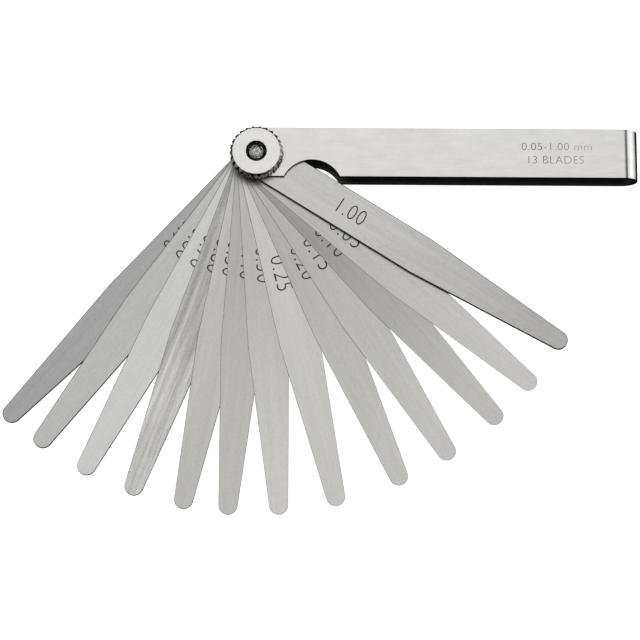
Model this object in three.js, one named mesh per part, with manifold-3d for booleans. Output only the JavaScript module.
// Feeler gauge: thirteen tapered leaf blades on one pivot screw, in a case folded from
// a single strip of sheet metal, clamped by a knurled lock nut.
// Millimetres. The gauge lies on its back: +X runs along the case from the pivot to the
// fold, +Z points out of the front plate, and the blades fan out towards -Y.
// The origin is on the pivot axis, at the flat outer face of the screw's head.

import * as THREE from "three";
import { mergeVertices } from "three/addons/utils/BufferGeometryUtils.js";
import Module from "manifold-3d";

const wasm = await Module();
wasm.setup();

// Case
const CASE_WIDTH = 13.2;
const CASE_OFFSET = 0.7; // the pivot sits this much nearer the lower edge than the upper one
const CASE_REACH = 99.8; // pivot axis to the outside of the fold
const SHEET = 0.9;
const FOLD_DEPTH = 3.4; // how far the rounded fold stands past the flat of the plates
const FOLD_STEPS = 14;

// Thumb notch, a circular bite out of the lower edge of both plates
const NOTCH_START = 7.2;
const NOTCH_END = 21.8;
const NOTCH_DEPTH = 4.5;
const NOTCH_STEPS = 20;

// Blades
const BLADE_REACH = 94.7; // pivot axis to tip
const BLADE_WIDTH = 10.5;
const TAPER_START = 50.5;
const TIP_RADIUS = 2.45;
const SLIDING_GAP = 0.02; // between neighbouring flat faces in the stack
const ARC_STEPS = 16;

// Each blade: its thickness and how far it is swung down out of the case, in degrees.
// The list runs from the front plate to the rear plate.
const BLADES = [
  { thickness: 1.0, swing: 32.1 },
  { thickness: 0.05, swing: 40.4 },
  { thickness: 0.1, swing: 48.2 },
  { thickness: 0.15, swing: 57.7 },
  { thickness: 0.2, swing: 66.3 },
  { thickness: 0.25, swing: 76.8 },
  { thickness: 0.3, swing: 85.9 },
  { thickness: 0.4, swing: 93.9 },
  { thickness: 0.5, swing: 101.0 },
  { thickness: 0.6, swing: 109.2 },
  { thickness: 0.7, swing: 117.5 },
  { thickness: 0.8, swing: 125.9 },
  { thickness: 0.9, swing: 132.5 },
];

// Pivot screw
const SHANK_RADIUS = 2.0;
const RUNNING_CLEARANCE = 0.05; // radial, around the shank
const HEAD_RADIUS = 4.75;
const HEAD_HEIGHT = 1.0;
const HEAD_CHAMFER = 0.25;
const NECK_SQUARE = 4.6; // across flats, keeps the screw from turning in the rear plate
const SCREW_END_CHAMFER = 0.35;
const SCREW_END_DOME = 0.15;

// Lock nut
const NUT_RADIUS = 7.0; // over the crests of the knurl
const NUT_FACE_RADIUS = 6.2;
const NUT_HEIGHT = 3.0;
const NUT_TOP_CHAMFER = 0.75;
const NUT_BOTTOM_CHAMFER = 0.3;
const KNURL_TEETH = 24;
const KNURL_DEPTH = 0.5;
const SINK_RADIUS = 2.7; // countersink around the end of the screw
const SINK_DEPTH = 1.4;
const SINK_FLOOR_RADIUS = 2.35;
const SCREW_END_BELOW_NUT_FACE = 0.45;

const ROUND_STEPS = 48;
const HOLE_STEPS = 32;

// Heights worked out from the stack
const REAR_PLATE_BOTTOM = HEAD_HEIGHT + SLIDING_GAP;
const REAR_PLATE_TOP = REAR_PLATE_BOTTOM + SHEET;
const STACK_HEIGHT = BLADES.reduce((sum, blade) => sum + blade.thickness + SLIDING_GAP, SLIDING_GAP);
const FRONT_PLATE_BOTTOM = REAR_PLATE_TOP + STACK_HEIGHT;
const FRONT_PLATE_TOP = FRONT_PLATE_BOTTOM + SHEET;
const NUT_BOTTOM = FRONT_PLATE_TOP + SLIDING_GAP;
const NUT_TOP = NUT_BOTTOM + NUT_HEIGHT;
const SCREW_END = NUT_TOP - SCREW_END_BELOW_NUT_FACE;

// Finishes
const nickel = new THREE.MeshStandardMaterial({ color: 0xc9cacb, roughness: 0.35, metalness: 1 });
const groundSteel = new THREE.MeshStandardMaterial({ color: 0xb4b4b4, roughness: 0.3, metalness: 1 });
const turnedNickel = new THREE.MeshStandardMaterial({ color: 0xd8d8d6, roughness: 0.28, metalness: 1 });
const zincSteel = new THREE.MeshStandardMaterial({ color: 0xa8a8a6, roughness: 0.4, metalness: 1 });

// A three.js geometry as a solid that can be joined and cut
function solid(geometry) {
  const bare = geometry.clone();
  bare.deleteAttribute("normal");
  bare.deleteAttribute("uv");
  const merged = mergeVertices(bare, 1e-4);
  return new wasm.Manifold(
    new wasm.Mesh({
      numProp: 3,
      vertProperties: merged.attributes.position.array,
      triVerts: new Uint32Array(merged.index.array),
    })
  );
}

// A solid back as a named three.js mesh
function part(name, shape, material) {
  const { vertProperties, triVerts } = shape.getMesh();
  const geometry = new THREE.BufferGeometry();
  geometry.setAttribute("position", new THREE.BufferAttribute(new Float32Array(vertProperties), 3));
  geometry.setIndex(new THREE.BufferAttribute(new Uint32Array(triVerts), 1));
  geometry.computeVertexNormals();
  const mesh = new THREE.Mesh(geometry, material);
  mesh.name = name;
  return mesh;
}

// A flat outline made into a plate between two heights
function plate(shape, bottom, top, curveSegments) {
  const geometry = new THREE.ExtrudeGeometry(shape, { depth: top - bottom, bevelEnabled: false, curveSegments });
  return geometry.translate(0, 0, bottom);
}

// A profile of [radius, height] points turned about the pivot axis
function turned(profile, steps = ROUND_STEPS) {
  const points = profile.map(([radius, height]) => new THREE.Vector2(radius, height));
  return new THREE.LatheGeometry(points, steps).rotateX(Math.PI / 2);
}

// A round cutter on the pivot axis
function drill(radius, bottom, top) {
  const profile = [
    [0, bottom],
    [radius, bottom],
    [radius, top],
    [0, top],
  ];
  return solid(turned(profile, HOLE_STEPS));
}

// The case seen from the front: a round end by the pivot and the thumb notch below
function caseOutline() {
  const half = CASE_WIDTH / 2;
  const lower = CASE_OFFSET - half;
  const halfChord = (NOTCH_END - NOTCH_START) / 2;
  const radius = (halfChord ** 2 + NOTCH_DEPTH ** 2) / (2 * NOTCH_DEPTH);
  const centreX = NOTCH_START + halfChord;
  const centreY = lower + NOTCH_DEPTH - radius;
  const opening = Math.asin(halfChord / radius);
  const shape = new THREE.Shape();
  shape.absarc(0, CASE_OFFSET, half, Math.PI / 2, (3 * Math.PI) / 2, false);
  shape.absarc(centreX, centreY, radius, Math.PI / 2 + opening, Math.PI / 2 - opening, true);
  shape.lineTo(CASE_REACH + 1, lower);
  shape.lineTo(CASE_REACH + 1, CASE_OFFSET + half);
  shape.closePath();
  return shape;
}

// The case seen from the side: two plates joined by one rounded fold
function hairpinProfile() {
  const flatEnd = CASE_REACH - FOLD_DEPTH;
  const middle = (REAR_PLATE_BOTTOM + FRONT_PLATE_TOP) / 2;
  const outerHeight = (FRONT_PLATE_TOP - REAR_PLATE_BOTTOM) / 2;
  const shape = new THREE.Shape();
  shape.moveTo(-CASE_WIDTH, REAR_PLATE_BOTTOM);
  shape.lineTo(flatEnd, REAR_PLATE_BOTTOM);
  shape.absellipse(flatEnd, middle, FOLD_DEPTH, outerHeight, -Math.PI / 2, Math.PI / 2, false, 0);
  shape.lineTo(-CASE_WIDTH, FRONT_PLATE_TOP);
  shape.lineTo(-CASE_WIDTH, FRONT_PLATE_BOTTOM);
  shape.lineTo(flatEnd, FRONT_PLATE_BOTTOM);
  shape.absellipse(
    flatEnd,
    middle,
    FOLD_DEPTH - SHEET,
    outerHeight - SHEET,
    Math.PI / 2,
    -Math.PI / 2,
    true,
    0
  );
  shape.lineTo(-CASE_WIDTH, REAR_PLATE_TOP);
  shape.closePath();
  return shape;
}

function caseSolid() {
  const strip = plate(hairpinProfile(), -CASE_WIDTH, CASE_WIDTH, FOLD_STEPS).rotateX(Math.PI / 2);
  const outline = plate(caseOutline(), -1, FRONT_PLATE_TOP + 1, NOTCH_STEPS);
  const hole = SHANK_RADIUS + RUNNING_CLEARANCE;
  const square = NECK_SQUARE + 2 * RUNNING_CLEARANCE;
  const neckHole = new THREE.BoxGeometry(square, square, 2 * SHEET);
  neckHole.translate(0, 0, REAR_PLATE_BOTTOM + SHEET / 2);
  return solid(strip)
    .intersect(solid(outline))
    .subtract(drill(hole, FRONT_PLATE_BOTTOM - 1, FRONT_PLATE_TOP + 1))
    .subtract(solid(neckHole));
}

// One leaf: round root about the pivot, straight sides, then a taper tangent to a round tip
function bladeOutline() {
  const half = BLADE_WIDTH / 2;
  const tipCentre = BLADE_REACH - TIP_RADIUS;
  const run = tipCentre - TAPER_START;
  const taper = Math.atan2(half, run) - Math.asin(TIP_RADIUS / Math.hypot(run, half));
  const shape = new THREE.Shape();
  shape.moveTo(0, half);
  shape.absarc(0, 0, half, Math.PI / 2, (3 * Math.PI) / 2, false);
  shape.lineTo(TAPER_START, -half);
  shape.absarc(tipCentre, 0, TIP_RADIUS, taper - Math.PI / 2, Math.PI / 2 - taper, false);
  shape.lineTo(TAPER_START, half);
  shape.closePath();
  const hole = new THREE.Path();
  hole.absarc(0, 0, SHANK_RADIUS + RUNNING_CLEARANCE, 0, 2 * Math.PI, true);
  shape.holes.push(hole);
  return shape;
}

// The screw: low flat head behind the case, square neck, plain shank and a domed, chamfered end
function screwSolid() {
  const endRadius = SHANK_RADIUS - SCREW_END_CHAMFER;
  const profile = [
    [0, 0],
    [HEAD_RADIUS - HEAD_CHAMFER, 0],
    [HEAD_RADIUS, HEAD_CHAMFER],
    [HEAD_RADIUS, HEAD_HEIGHT],
    [SHANK_RADIUS, HEAD_HEIGHT],
    [SHANK_RADIUS, SCREW_END - SCREW_END_CHAMFER - SCREW_END_DOME],
    [endRadius, SCREW_END - SCREW_END_DOME],
    [endRadius / 2, SCREW_END],
    [0, SCREW_END],
  ];
  const neckTop = REAR_PLATE_TOP - SLIDING_GAP;
  const neck = new THREE.BoxGeometry(NECK_SQUARE, NECK_SQUARE, neckTop - HEAD_HEIGHT / 2);
  neck.translate(0, 0, (neckTop + HEAD_HEIGHT / 2) / 2);
  return solid(turned(profile)).add(solid(neck));
}

// The nut: toothed rim, chamfered above and below, bored and countersunk for the screw's end
function nutSolid() {
  const rim = new THREE.Shape();
  for (let tooth = 0; tooth < KNURL_TEETH; tooth++) {
    const crest = ((tooth + 0.5) / KNURL_TEETH) * 2 * Math.PI;
    const root = ((tooth + 1) / KNURL_TEETH) * 2 * Math.PI;
    const rootRadius = NUT_RADIUS - KNURL_DEPTH;
    if (tooth === 0) rim.moveTo(rootRadius, 0);
    rim.lineTo(NUT_RADIUS * Math.cos(crest), NUT_RADIUS * Math.sin(crest));
    if (tooth < KNURL_TEETH - 1) rim.lineTo(rootRadius * Math.cos(root), rootRadius * Math.sin(root));
  }
  rim.closePath();
  const toothed = solid(plate(rim, NUT_BOTTOM, NUT_TOP, 1));
  const envelope = [
    [0, NUT_BOTTOM],
    [NUT_RADIUS - NUT_BOTTOM_CHAMFER, NUT_BOTTOM],
    [NUT_RADIUS, NUT_BOTTOM + NUT_BOTTOM_CHAMFER],
    [NUT_RADIUS, NUT_TOP - NUT_TOP_CHAMFER],
    [NUT_FACE_RADIUS, NUT_TOP],
    [0, NUT_TOP],
  ];
  const bore = [
    [0, NUT_BOTTOM - 1],
    [SHANK_RADIUS + RUNNING_CLEARANCE, NUT_BOTTOM - 1],
    [SHANK_RADIUS + RUNNING_CLEARANCE, NUT_TOP - SINK_DEPTH],
    [SINK_FLOOR_RADIUS, NUT_TOP - SINK_DEPTH],
    [SINK_RADIUS, NUT_TOP],
    [SINK_RADIUS, NUT_TOP + 1],
    [0, NUT_TOP + 1],
  ];
  return toothed.intersect(solid(turned(envelope))).subtract(solid(turned(bore)));
}

const gauge = new THREE.Group();
gauge.add(part("case", caseSolid(), nickel));
gauge.add(part("pivot_screw", screwSolid(), zincSteel));
gauge.add(part("lock_nut", nutSolid(), turnedNickel));

let top = FRONT_PLATE_BOTTOM;
for (const { thickness, swing } of BLADES) {
  top -= SLIDING_GAP;
  const leaf = solid(plate(bladeOutline(), 0, thickness, ARC_STEPS));
  const blade = part(`blade_${thickness.toFixed(2).replace(".", "_")}`, leaf, groundSteel);
  blade.position.z = top - thickness;
  blade.rotation.z = THREE.MathUtils.degToRad(-swing);
  gauge.add(blade);
  top -= thickness;
}

export default gauge;
